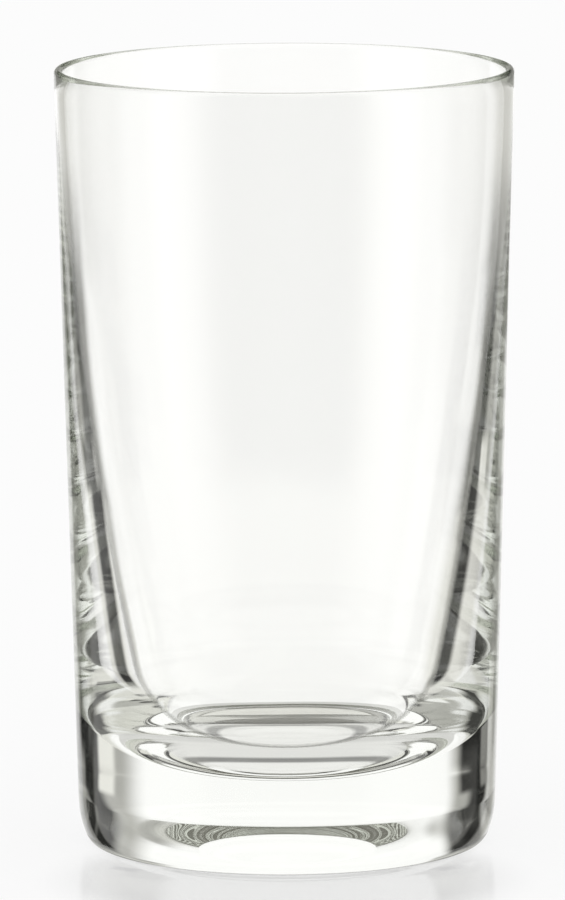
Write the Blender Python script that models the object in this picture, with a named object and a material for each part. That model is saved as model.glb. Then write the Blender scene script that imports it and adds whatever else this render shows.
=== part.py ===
# A clear highball glass: a fine round lip, a wall that thickens downwards, a heavy base and a rounded foot.
# It is one body of glass in four zones, which meet on level planes. Metres, +Z up, and the origin is on
# the table under the middle of the foot.

from math import asin, atan2, cos, hypot, pi, sin

import bmesh
import bpy

# Driving dimensions of the outside
HEIGHT = 0.1274
RIM_DIAMETER = 0.0750
FOOT_DIAMETER = 0.0682      # where the slope of the wall would reach the table
HEEL_HEIGHT = 0.0084        # rounding from the wall to the table, taller than it is wide
HEEL_WIDTH = 0.00275
BEARING_WIDTH = 0.0020      # flat ring that the glass stands on
PUNT_RISE = 0.0023          # hollow under the foot, at its middle

# Driving dimensions of the inside
LIP_WALL = 0.0015
SHOULDER_WALL = 0.0070      # wall at the shoulder
WALL_GROWTH = 2.4           # how late the wall thickens on its way down to the shoulder
BASE_THICKNESS = 0.0124     # from the table to the floor of the well
WELL_TURN = 0.0308          # where the inner wall starts to round into the floor, above the table
WELL_SIDE_PULL = 0.0150     # how strongly the rounding follows the inner wall
WELL_FLOOR_PULL = 0.0170    # how strongly it follows the floor

# Level planes between the zones
LIP_BAND = 0.0040           # height of the rim, from the top of the lip
SHOULDER_HEIGHT = 0.0396    # where the wall meets the base, above the table

# Fineness of the round shapes
TURN_STEPS = 64
LIP_STEPS = 8
WALL_STEPS = 10
SHOULDER_STEPS = 3
WELL_STEPS = 14
HEEL_STEPS = 8
PUNT_STEPS = 4
SLOPE_STEP = 0.0002         # height over which the slope of the inner wall is read
MERGE_DISTANCE = 0.000001
SHARP_ANGLE = 0.6

# Glass of each zone: colour, roughness
RIM_GLASS = ((0.96, 0.97, 0.96), 0.02)
WALL_GLASS = ((0.97, 0.98, 0.97), 0.02)
BASE_GLASS = ((0.94, 0.96, 0.94), 0.02)
FOOT_GLASS = ((0.92, 0.94, 0.92), 0.06)
GLASS_IOR = 1.52


def outer_radius(z):
    slope = (RIM_DIAMETER - FOOT_DIAMETER) / 2 / HEIGHT
    return FOOT_DIAMETER / 2 + slope * z


def wall_thickness(z):
    share_of_depth = (HEIGHT - z) / (HEIGHT - SHOULDER_HEIGHT)
    return LIP_WALL + (SHOULDER_WALL - LIP_WALL) * share_of_depth ** WALL_GROWTH


def inner_radius(z):
    return outer_radius(z) - wall_thickness(z)


def inner_lean(z):
    rise = inner_radius(z + SLOPE_STEP) - inner_radius(z - SLOPE_STEP)
    return atan2(rise, 2 * SLOPE_STEP)


def arc(middle, radius, start, end, steps):
    angles = [start + (end - start) * i / steps for i in range(steps + 1)]
    return [(middle[0] + radius * cos(a), middle[1] + radius * sin(a)) for a in angles]


def levels(low, high, steps):
    return [low + (high - low) * i / steps for i in range(steps + 1)]


# The lip is a half round as wide as the wall there
def lip_round():
    radius = LIP_WALL / 2
    z = HEIGHT - radius
    return arc((outer_radius(z) - radius, z), radius, 0, pi, LIP_STEPS)


# The bottom of the well is a bowl: one cubic curve, level at the axis, that touches the inner wall
def well_bottom():
    lean = inner_lean(WELL_TURN)
    top = (inner_radius(WELL_TURN), WELL_TURN)
    below = (top[0] - WELL_SIDE_PULL * sin(lean), top[1] - WELL_SIDE_PULL * cos(lean))
    on_floor = (WELL_FLOOR_PULL, BASE_THICKNESS)
    middle = (0, BASE_THICKNESS)
    points = []
    for i in range(WELL_STEPS + 1):
        t = i / WELL_STEPS
        shares = ((1 - t) ** 3, 3 * t * (1 - t) ** 2, 3 * t ** 2 * (1 - t), t ** 3)
        ends = (middle, on_floor, below, top)
        points.append(tuple(sum(share * end[k] for share, end in zip(shares, ends)) for k in (0, 1)))
    return points


# The heel is a quarter of an ellipse, from the bearing ring up to the outer wall
def heel():
    middle = outer_radius(HEEL_HEIGHT) - HEEL_WIDTH
    turns = [pi / 2 * i / HEEL_STEPS for i in range(HEEL_STEPS + 1)]
    return [(middle + HEEL_WIDTH * sin(a), HEEL_HEIGHT * (1 - cos(a))) for a in turns]


# The punt is a shallow dome inside the bearing ring
def punt():
    rim = heel()[0][0] - BEARING_WIDTH
    dome_radius = (rim ** 2 + PUNT_RISE ** 2) / (2 * PUNT_RISE)
    middle = (0, PUNT_RISE - dome_radius)
    return arc(middle, dome_radius, pi / 2, pi / 2 - asin(rim / dome_radius), PUNT_STEPS)


def rim_profile():
    z = HEIGHT - LIP_BAND
    return [(inner_radius(z), z), (outer_radius(z), z)] + lip_round()


def wall_profile():
    heights = levels(SHOULDER_HEIGHT, HEIGHT - LIP_BAND, WALL_STEPS)
    inside = [(inner_radius(z), z) for z in reversed(heights)]
    outside = [(outer_radius(z), z) for z in (heights[0], heights[-1])]
    return inside + outside


def base_profile():
    bottom = heel()[-1]
    well = well_bottom()
    heights = levels(well[-1][1], SHOULDER_HEIGHT, SHOULDER_STEPS)
    inside = well + [(inner_radius(z), z) for z in heights[1:]]
    return [(0, bottom[1]), bottom, (outer_radius(SHOULDER_HEIGHT), SHOULDER_HEIGHT)] + inside[::-1]


def foot_profile():
    outside = heel()
    return punt() + outside + [(0, outside[-1][1])]


def glass(name, look):
    colour, roughness = look
    material = bpy.data.materials.new(name)
    material.use_nodes = True
    shader = material.node_tree.nodes["Principled BSDF"]
    shader.inputs["Base Color"].default_value = (*colour, 1)
    shader.inputs["Roughness"].default_value = roughness
    shader.inputs["Metallic"].default_value = 0
    shader.inputs["IOR"].default_value = GLASS_IOR
    shader.inputs["Transmission Weight"].default_value = 1
    return material


# Turns a profile of (radius, height) points about Z. It closes on the axis, or on itself as a ring.
def turned(name, profile, look):
    bm = bmesh.new()
    points = [bm.verts.new((r, 0, z)) for r, z in profile]
    edges = [bm.edges.new(pair) for pair in zip(points, points[1:])]
    if hypot(profile[0][0], profile[-1][0]) > MERGE_DISTANCE:
        edges.append(bm.edges.new((points[-1], points[0])))
    bmesh.ops.spin(
        bm, geom=points + edges, cent=(0, 0, 0), axis=(0, 0, 1), angle=2 * pi, steps=TURN_STEPS, use_merge=True
    )
    bmesh.ops.remove_doubles(bm, verts=bm.verts, dist=MERGE_DISTANCE)
    bmesh.ops.recalc_face_normals(bm, faces=bm.faces)
    mesh = bpy.data.meshes.new(name)
    bm.to_mesh(mesh)
    bm.free()
    mesh.shade_smooth()
    mesh.set_sharp_from_angle(angle=SHARP_ANGLE)
    mesh.materials.append(glass(name, look))
    turned_object = bpy.data.objects.new(name, mesh)
    bpy.context.scene.collection.objects.link(turned_object)
    return turned_object


for old in list(bpy.data.objects):
    bpy.data.objects.remove(old)

turned("rim", rim_profile(), RIM_GLASS)
turned("wall", wall_profile(), WALL_GLASS)
turned("base", base_profile(), BASE_GLASS)
turned("foot", foot_profile(), FOOT_GLASS)
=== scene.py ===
from math import asin, atan2, cos, pi, radians, sin

import bpy
from mathutils import Matrix, Vector


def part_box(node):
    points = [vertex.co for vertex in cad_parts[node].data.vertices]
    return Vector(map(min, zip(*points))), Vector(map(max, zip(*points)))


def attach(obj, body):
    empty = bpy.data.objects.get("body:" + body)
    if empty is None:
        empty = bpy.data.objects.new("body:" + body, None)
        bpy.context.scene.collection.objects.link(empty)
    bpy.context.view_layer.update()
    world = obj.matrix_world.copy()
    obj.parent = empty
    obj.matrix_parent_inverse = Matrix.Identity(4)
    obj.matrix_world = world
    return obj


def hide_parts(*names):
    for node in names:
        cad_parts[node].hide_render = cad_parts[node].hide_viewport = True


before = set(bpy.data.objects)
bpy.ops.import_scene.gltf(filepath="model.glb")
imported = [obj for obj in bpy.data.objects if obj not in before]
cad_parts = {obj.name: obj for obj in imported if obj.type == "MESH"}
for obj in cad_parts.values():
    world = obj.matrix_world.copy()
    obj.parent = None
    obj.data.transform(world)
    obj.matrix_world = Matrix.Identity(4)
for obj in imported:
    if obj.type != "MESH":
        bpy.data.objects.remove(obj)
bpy.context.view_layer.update()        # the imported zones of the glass: rim, wall, base, foot
print("frame loaded:", ", ".join(sorted(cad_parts)))


# a shader socket that does sums: an operator adds its Math node
class Wire:
    def __init__(self, tree, socket=None):
        self.tree = tree
        self.socket = socket

    # any node: its type, its settings, then what its sockets hold or are linked to
    def node(self, kind, settings=None, sockets=None, output=0):
        made = self.tree.nodes.new(kind)
        for name, value in (settings or {}).items():
            if name == "stops":
                self.setStops(made.color_ramp, value)
            else:
                setattr(made, name, value)
        for name, value in (sockets or {}).items():
            self.feed(made.inputs[name], value)
        return Wire(self.tree, made.outputs[output])

    def feed(self, socket, value):
        if isinstance(value, Wire):
            self.tree.links.new(value.socket, socket)
        else:
            socket.default_value = value

    @staticmethod
    def setStops(ramp, stops):
        while len(ramp.elements) < len(stops):
            ramp.elements.new(1)
        for element, (place, colour) in zip(ramp.elements, stops):
            element.position = place
            element.color = (*colour, 1)

    def sum(self, operation, first, second):
        return self.node("ShaderNodeMath", {"operation": operation}, {0: first, 1: second})

    def __add__(self, other):
        return self.sum("ADD", self, other)

    __radd__ = __add__

    def __sub__(self, other):
        return self.sum("SUBTRACT", self, other)

    def __rsub__(self, other):
        return self.sum("SUBTRACT", other, self)

    def __mul__(self, other):
        return self.sum("MULTIPLY", self, other)

    __rmul__ = __mul__

    def __truediv__(self, other):
        return self.sum("DIVIDE", self, other)

    def __rtruediv__(self, other):
        return self.sum("DIVIDE", other, self)

    # 0 below the low value and 1 above the high one, with soft ends
    def between(self, low, high):
        settings = {"interpolation_type": "SMOOTHSTEP"}
        return self.node("ShaderNodeMapRange", settings, {"Value": self, "From Min": low, "From Max": high})

    # 1 from the low value to the high one, with soft ends
    def within(self, low, high, soft):
        return self.between(low - soft, low + soft) * (1 - self.between(high - soft, high + soft))

    # a colour from a to b by this wire
    def mix(self, a, b):
        return self.node("ShaderNodeMix", {"data_type": "RGBA"}, {0: self, 6: a, 7: b}, 2)


def newMaterial(name):
    material = bpy.data.materials.new(name)
    material.use_nodes = True
    return material, Wire(material.node_tree), material.node_tree.nodes


def addObject(name, mesh):
    made = bpy.data.objects.new(name, mesh)
    bpy.context.scene.collection.objects.link(made)
    return made


# the camera stands where the picture was taken from
cameraView = {
    "around": -20.0,           # degrees; a round glass has no front
    "aside": -0.0005, "distance": 1.5, "height": 0.294,
    "pitchDown": 8.70, "roll": -0.229,    # degrees
    "focalPixels": 9278, "framePixels": 900,
    "sensor": 36.0,
}


def makeCamera(view):
    data = bpy.data.cameras.new("camera")
    data.sensor_width = view["sensor"]
    data.lens = view["sensor"] * view["focalPixels"] / view["framePixels"]
    camera = addObject("camera", data)
    place = Matrix.Translation((view["aside"], -view["distance"], view["height"]))
    tilt = Matrix.Rotation(radians(90 - view["pitchDown"]), 4, "X")
    around = Matrix.Rotation(radians(view["around"]), 4, "Z")
    camera.matrix_world = around @ place @ tilt @ Matrix.Rotation(radians(view["roll"]), 4, "Z")
    bpy.context.scene.camera = camera
    return camera


camera = makeCamera(cameraView)
print("camera placed, lens", round(camera.data.lens, 1))


# one seamless body of glass; what the frame knows comes from the frame
glassShape = {
    "height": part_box("rim")[1].z,
    "shoulder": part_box("wall")[0].z,
    "lipWall": 0.0015,
    "shoulderWall": 0.0070,
    "wallGrowth": 2.4,         # how late the wall thickens on its way down
    "wellFloor": 0.0124,
    "wellTurn": 0.0308,        # height where the wall starts to round into the floor
    "wellSidePull": 0.0150,    # how far the round follows the wall
    "wellFloorPull": 0.0170,   # how far it follows the floor
    "heelHeight": 0.0084, "heelWidth": 0.00275,
    "bearingWidth": 0.0020,
    "puntRise": 0.0023,
    "wave": 0.000012,          # unevenness of the drawn wall
    "turnSteps": 256, "insideSteps": 60, "outsideSteps": 40, "bearingSteps": 4,
    "slopeStep": 0.0002,       # height over which the wall's lean is read
    "onAxis": 1e-7,            # a ring smaller than this is one point
}


def outerRadius(z):
    low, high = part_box("foot")[1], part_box("wall")[1]
    return low.x + (high.x - low.x) * (z - low.z) / (high.z - low.z)


def wallThickness(shape, z):
    depth = (shape["height"] - z) / (shape["height"] - shape["shoulder"])
    return shape["lipWall"] + (shape["shoulderWall"] - shape["lipWall"]) * depth ** shape["wallGrowth"]


def innerRadius(shape, z):
    return outerRadius(z) - wallThickness(shape, z)


def arc(middle, radius, start, end, steps):
    angles = [start + (end - start) * i / steps for i in range(steps + 1)]
    return [(middle[0] + radius * cos(a), middle[1] + radius * sin(a)) for a in angles]


def spread(low, high, steps):
    return [low + (high - low) * i / steps for i in range(steps + 1)]


# from the middle of the floor out and up to the wall, in one curve that leans with the wall
def wellBottom(shape, steps=44):
    turn, pull, step = shape["wellTurn"], shape["wellSidePull"], shape["slopeStep"]
    lean = atan2(innerRadius(shape, turn + step) - innerRadius(shape, turn - step), 2 * step)
    middle = Vector((0, shape["wellFloor"]))
    onFloor = Vector((shape["wellFloorPull"], shape["wellFloor"]))
    top = Vector((innerRadius(shape, turn), turn))
    below = top - pull * Vector((sin(lean), cos(lean)))
    points = []
    for t in spread(0, 1, steps):
        s = 1 - t
        place = s ** 3 * middle + 3 * s * s * t * onFloor + 3 * s * t * t * below + t ** 3 * top
        points.append(tuple(place))
    return points


def lipRound(shape, steps=14):
    radius = shape["lipWall"] / 2
    z = shape["height"] - radius
    return arc((outerRadius(z) - radius, z), radius, pi, 0, steps)


# a quarter of an ellipse, taller than it is wide
def heelRound(shape, steps=48):
    height, width = shape["heelHeight"], shape["heelWidth"]
    middle = outerRadius(height) - width
    turns = spread(0, pi / 2, steps)
    return [(middle + width * cos(t), height * (1 - sin(t))) for t in turns]


def puntDome(shape, rim, steps=60):
    rise = shape["puntRise"]
    radius = (rim ** 2 + rise ** 2) / (2 * rise)
    return arc((0, rise - radius), radius, pi / 2 - asin(rim / radius), pi / 2, steps)


def glassProfile(shape):
    lip, heel = lipRound(shape), heelRound(shape)
    insideHeights = spread(shape["wellTurn"], lip[0][1], shape["insideSteps"])
    inside = [(innerRadius(shape, z), z) for z in insideHeights]
    outsideHeights = spread(lip[-1][1], heel[0][1], shape["outsideSteps"])
    outside = [(outerRadius(z), z) for z in outsideHeights]
    ringEnd = heel[-1][0]
    bearing = [(r, 0) for r in spread(ringEnd, ringEnd - shape["bearingWidth"], shape["bearingSteps"])]
    punt = puntDome(shape, bearing[-1][0])
    return wellBottom(shape)[:-1] + inside[:-1] + lip + outside[1:-1] + heel + bearing[1:-1] + punt


# slow lobes and flow lines of one or two hundredths of a millimetre, fading out at the lip and the foot
def unevenness(shape, angle, z, inner):
    up = z / shape["height"]
    fade = sin(pi * min(max(up, 0), 1)) ** 0.5
    lobes = sin(3 * angle + 9 * up + inner) + 0.7 * sin(5 * angle - 14 * up + 2 * inner)
    lines = 0.35 * sin(11 * angle + 23 * up) * sin(31 * up + 3 * inner)
    return shape["wave"] * fade * (lobes + lines)


def turnGlass(name, shape):
    profile = glassProfile(shape)
    lipPlace = max(range(len(profile)), key=lambda i: profile[i][1])
    steps = shape["turnSteps"]
    points, rings, faces = [], [], []
    for i, (radius, z) in enumerate(profile):
        first = len(points)
        if radius < shape["onAxis"]:
            points.append((0, 0, z))
            rings.append([first] * steps)
            continue
        for k in range(steps):
            angle = 2 * pi * k / steps
            r = radius + unevenness(shape, angle, z, inner=i < lipPlace)
            points.append((r * cos(angle), r * sin(angle), z))
        rings.append(list(range(first, first + steps)))
    for lower, upper in zip(rings, rings[1:]):
        for k in range(steps):
            corners = [lower[k], lower[k - 1], upper[k - 1], upper[k]]
            faces.append(list(dict.fromkeys(corners)))   # a triangle where a ring is one point
    mesh = bpy.data.meshes.new(name)
    mesh.from_pydata(points, [], faces)
    mesh.validate()
    mesh.shade_smooth()
    return addObject(name, mesh)


glassLook = {
    "tint": (0.996, 0.998, 0.990), "paleTint": (1.0, 1.0, 0.998),
    "ior": 1.52,
    "depthTint": (0.80, 0.86, 0.74), "depthDensity": 2.0,
    # painted shade at a grazing angle: its colour, the facing over which it comes in, and the heights where
    # it fades out
    "paintedEdgeShade": (0.20, 0.20, 0.185), "paintedEdgeFacing": (0.67, 0.78), "paintedEdgeFade": (0.085, 0.112),
    "scuff": 0.16,             # roughness of the worn standing ring
    "scuffHeight": 0.0004, "scuffScale": 1100.0, "scuffRange": (0.40, 0.70),
    "flowStretch": (1, 1, 0.12),    # flow lines are long up the wall and short round it
    "flowScale": 260.0, "flowStrength": 0.02, "flowDepth": 0.00004,
    "cordScale": 60.0,         # paler cords in the tint
}


def noise(wire, place, scale, detail):
    return wire.node("ShaderNodeTexNoise", None, {"Vector": place, "Scale": scale, "Detail": detail})


def clearGlass(look):
    material, wire, nodes = newMaterial("clearGlass")
    shader = nodes["Principled BSDF"]
    place = wire.node("ShaderNodeTexCoord", output="Object")
    height = wire.node("ShaderNodeSeparateXYZ", None, {0: place}, "Z")
    stretched = wire.node("ShaderNodeMapping", None, {"Vector": place, "Scale": look["flowStretch"]})
    flow = noise(wire, stretched, look["flowScale"], 2.0)
    lines = {"Height": flow, "Strength": look["flowStrength"], "Distance": look["flowDepth"]}
    bump = wire.node("ShaderNodeBump", None, lines)
    # short scratches and dull spots where the foot meets the table
    low = 1 - height.between(0.0, look["scuffHeight"])
    grit = noise(wire, place, look["scuffScale"], 2.0)
    worn = low * grit.between(*look["scuffRange"])
    cords = noise(wire, stretched, look["cordScale"], 1.0)
    body = cords.mix((*look["tint"], 1), (*look["paleTint"], 1))
    # painted shade: the glass's colour is darkened at a grazing angle, apart from the thin top of the wall
    facing = wire.node("ShaderNodeLayerWeight", output="Facing")
    edgeShade = facing.between(*look["paintedEdgeFacing"]) * (1 - height.between(*look["paintedEdgeFade"]))
    wire.feed(shader.inputs["Base Color"], edgeShade.mix(body, (*look["paintedEdgeShade"], 1)))
    wire.feed(shader.inputs["Roughness"], worn * look["scuff"])
    wire.feed(shader.inputs["Normal"], bump)
    shader.inputs["IOR"].default_value = look["ior"]
    shader.inputs["Transmission Weight"].default_value = 1
    depth = wire.node(
        "ShaderNodeVolumeAbsorption", None,
        {"Color": (*look["depthTint"], 1), "Density": look["depthDensity"]},
    )
    wire.feed(nodes["Material Output"].inputs["Volume"], depth)
    return material


glass = turnGlass("glass", glassShape)
glass.data.materials.append(clearGlass(glassLook))
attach(glass, "root")
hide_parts("rim", "wall", "base", "foot")
print("glass turned:", len(glass.data.polygons), "faces")


# pale table: white, with a painted shadow before the foot, where a dimmed real reflection greys the white;
# the glass shows the studio instead of it
tableLook = {
    "size": 40.0, "drop": 0.00005,
    "colour": 0.985,
    "paleness": 0.88, "paleShade": 0.974,   # share of the white that the glass doesn't shade
    # the reflection's dim colour paints a grey shadow before the foot, on top of the real reflection
    "shine": 0.60, "shineIor": 1.7, "shineRough": 0.10, "shineMost": 0.36,
    "reflectionShadowSpot": (-0.012, -0.033, 0.0), "reflectionShadowReach": (0.026, 0.042),    # the spot before the foot that holds the painted shadow and the dimmed reflection
}


def even(shade):
    return shade, shade, shade, 1


def makeTable(look):
    half = look["size"] / 2
    corners = [(-half, -half, 0), (half, -half, 0), (half, half, 0), (-half, half, 0)]
    mesh = bpy.data.meshes.new("table")
    mesh.from_pydata(corners, [], [(0, 1, 2, 3)])
    table = addObject("table", mesh)
    table.location.z = -look["drop"]
    table.visible_transmission = False
    table.visible_glossy = False
    material, wire, nodes = newMaterial("paleTable")
    nodes.remove(nodes["Principled BSDF"])
    matt = wire.node("ShaderNodeBsdfDiffuse", None, {"Color": even(look["colour"])})
    gloss = {"Color": even(look["shine"]), "Roughness": look["shineRough"]}
    shine = wire.node("ShaderNodeBsdfAnisotropic", None, gloss)
    lit = wire.node("ShaderNodeEmission", None, {"Color": even(look["paleShade"])})
    pale = wire.node("ShaderNodeMixShader", None, {0: look["paleness"], 1: matt, 2: lit})
    place = wire.node("ShaderNodeTexCoord", output="Object")
    spot = look["reflectionShadowSpot"]
    reach = wire.node("ShaderNodeVectorMath", {"operation": "DISTANCE"}, {0: place, 1: spot}, "Value")
    mirror = wire.node("ShaderNodeFresnel", None, {"IOR": look["shineIor"]})
    # painted shadow: the real reflection, dimmed and kept to a spot before the foot
    reflectionShadow = mirror.sum("MINIMUM", mirror, look["shineMost"]) * (1 - reach.between(*look["reflectionShadowReach"]))
    seen = wire.node("ShaderNodeMixShader", None, {0: reflectionShadow, 1: pale, 2: shine})
    wire.feed(nodes["Material Output"].inputs["Surface"], seen)
    material.cycles.emission_sampling = "NONE"
    table.data.materials.append(material)
    return table


def grey(shade):
    return shade, 0.995 * shade, 0.93 * shade     # a little warm


def white(shade):
    return shade, shade, 0.99 * shade


# bright-field studio round the glass: a white panel behind, dark flags at both sides of it, grey elsewhere
studioLook = {
    "radius": 0.20, "low": -0.60, "high": 0.34, "wallSteps": 180,
    "walls": grey(0.45),
    # each card: degrees from straight behind (plus to the right), heights, soft ends, colour
    "cards": (
        ((-200, 200), (0.105, 0.50), (5, 0.010), grey(0.44)),  # above, darker on the left
        ((40, 200), (0.105, 0.50), (5, 0.010), grey(0.70)),
        ((-200, 200), (-0.80, -0.020), (5, 0.003), grey(0.80)),  # below
        ((140, 200), (-0.03, 0.15), (8, 0.010), grey(0.06)),  # behind the camera
        ((-200, -138), (-0.03, 0.15), (8, 0.010), grey(0.06)),
        ((-80, -58), (-0.80, 0.050), (4, 0.010), (0.92, 0.92, 0.90)),  # white boards at the sides
        ((-128, -96), (-0.80, 0.130), (8, 0.010), white(0.88)),
        ((97, 130), (-0.80, 0.120), (8, 0.010), white(0.88)),
        ((-55, -36), (0.130, 0.160), (3, 0.006), grey(0.04)),  # over the panel
        ((36, 55), (0.130, 0.160), (3, 0.006), grey(0.04)),
        ((-40, 40), (0.155, 0.21), (5, 0.006), grey(0.03)),
        ((-12, 12), (0.215, 0.50), (4, 0.006), grey(0.80)),
        ((-62, 62), (0.055, 0.106), (4, 0.004), grey(0.60)),
        ((-62, 62), (0.055, 0.078), (4, 0.012), grey(0.36)),
        ((53, 64), (0.028, 0.056), (2, 0.004), grey(0.02)),
        ((56, 80), (-0.045, -0.021), (2, 0.004), grey(0.34)),
    ),
    # dark flags beside the panel: side, lean in degrees a metre, soft inner edge, soft outer edge
    "flags": ((-1, 0, (39, 45), (53, 58)), (1, 100, (39, 46), (54, 60))),
    "flagHeight": (-0.14, 0.056), "flagSoft": 0.020, "flagColour": grey(0.012),
    # cards beside the panel, most of them low behind the solid base, and the panel, narrower above
    "nearCards": (
        ((-46, -34), (0.028, 0.056), (3, 0.014), grey(0.02)),
        ((-50, -36.5), (-0.021, -0.004), (2, 0.004), grey(0.01)),
        ((-57, -50), (-0.021, -0.004), (1.5, 0.004), grey(0.30)),
        ((55, 80), (-0.021, 0.0), (2, 0.004), grey(0.01)),
        ((28, 36.5), (-0.021, -0.004), (2, 0.004), grey(0.42)),
        ((36.5, 45.5), (-0.021, -0.004), (1.5, 0.004), grey(0.88)),
        ((-36, 0), (-0.80, -0.021), (2, 0.004), white(1.06)),
        ((-33, 0), (-0.80, 0.055), (3, 0.014), white(1.06)),
        ((-29, 0), (-0.80, 0.125), (2, 0.006), white(1.06)),
        ((-10, 29), (-0.80, 0.055), (5, 0.004), white(1.06)),
        ((-22, 22), (-0.80, 0.130), (4, 0.004), white(1.06)),
    ),
    "roof": (0.15, 0.147, 0.125), "floor": (0.10, 0.10, 0.09),
    # what lies under the foot, from the middle outwards: a share of the disc and its shade; the glowing
    # disc is painted light of the table there, with a painted shadow ring and a darker rim
    "underRadius": 0.034, "underDrop": 0.0001, "underBlue": 0.97,
    "under": (
        (0.0, 0.92), (0.45, 0.92), (0.50, 0.30), (0.57, 0.30),
        (0.62, 0.82), (0.88, 0.82), (0.94, 0.70),
    ),
}


def glow(name, colour):
    material, wire, nodes = newMaterial(name)
    nodes.remove(nodes["Principled BSDF"])
    shade = colour(wire) if callable(colour) else (*colour, 1)
    light = wire.node("ShaderNodeEmission", None, {"Color": shade})
    wire.feed(nodes["Material Output"].inputs["Surface"], light)
    material.cycles.emission_sampling = "NONE"
    return material


def wallColour(look, wire):
    place = wire.node("ShaderNodeTexCoord", output="Object")
    across, away, up = (wire.node("ShaderNodeSeparateXYZ", None, {0: place}, axis) for axis in range(3))
    turn = across.sum("ARCTAN2", across, away) * (180 / pi)
    colour = (*look["walls"], 1)

    def paint(cards, colour):
        for turns, heights, soft, shade in cards:
            card = turn.within(*turns, soft[0]) * up.within(*heights, soft[1])
            colour = card.mix(colour, (*shade, 1))
        return colour

    colour = paint(look["cards"], colour)
    for side, lean, inner, outer in look["flags"]:
        aside = side * turn + lean * up
        flag = aside.between(*inner) * (1 - aside.between(*outer))
        flag = flag * up.within(*look["flagHeight"], look["flagSoft"])
        colour = flag.mix(colour, (*look["flagColour"], 1))
    return paint(look["nearCards"], colour)


def underShadowColour(look, wire):
    place = wire.node("ShaderNodeTexCoord", output="Object")
    away = wire.node("ShaderNodeVectorMath", {"operation": "LENGTH"}, {0: place}, "Value")
    # painted light of the table under the foot, with a painted shadow ring and a darker rim
    stops = [(share, (shade, shade, look["underBlue"] * shade)) for share, shade in look["under"]]
    return wire.node("ShaderNodeValToRGB", {"stops": stops}, {0: away / look["underRadius"]})


def disc(radius, z, steps=96):
    mesh = bpy.data.meshes.new("disc")
    turns = [2 * pi * i / steps for i in range(steps)]
    mesh.from_pydata([(radius * cos(t), radius * sin(t), z) for t in turns], [], [range(steps)])
    return mesh


def makeStudio(look, around):
    rig = addObject("studioRig", None)
    rig.rotation_euler.z = radians(around)  # set square to the camera, and it stays there
    turns = spread(0, 2 * pi, look["wallSteps"])
    rail = [(look["radius"] * sin(t), look["radius"] * cos(t)) for t in turns]
    points = [(x, y, z) for x, y in rail for z in (look["low"], look["high"])]
    walls = bpy.data.meshes.new("studioWalls")
    walls.from_pydata(points, [], [(2 * i, 2 * i + 2, 2 * i + 3, 2 * i + 1) for i in range(len(rail) - 1)])
    walls.materials.append(glow("studioWalls", lambda wire: wallColour(look, wire)))
    roof, floor = disc(look["radius"], look["high"]), disc(look["radius"], look["low"])
    roof.materials.append(glow("studioRoof", look["roof"]))
    floor.materials.append(glow("studioFloor", look["floor"]))
    # a glowing disc, seen only through the glass: painted light of the table under the foot, with a painted
    # shadow ring
    under = disc(look["underRadius"], -look["underDrop"])
    under.materials.append(glow("underGlassShadow", lambda wire: underShadowColour(look, wire)))
    made = [addObject("studioPart", mesh) for mesh in (walls, roof, floor, under)]
    for part in made:
        part.parent = rig
        part.visible_camera = False
        part.visible_diffuse = False
        part.visible_shadow = False
    return made


worldLook = {"strength": 0.99, "colour": (1.0, 1.0, 1.0)}


def makeWorld(look):
    world = bpy.data.worlds.new("studio")
    world.use_nodes = True
    background = world.node_tree.nodes["Background"].inputs
    background["Color"].default_value = (*look["colour"], 1)
    background["Strength"].default_value = look["strength"]
    bpy.context.scene.world = world


table = makeTable(tableLook)
studio = makeStudio(studioLook, cameraView["around"])
makeWorld(worldLook)
print("table, studio and world set")

scene = bpy.context.scene
scene.view_settings.view_transform = "Standard"
lightBounces = 120       # light runs round inside the wall for long
scene.cycles.max_bounces = lightBounces
scene.cycles.transmission_bounces = lightBounces
scene.cycles.glossy_bounces = lightBounces
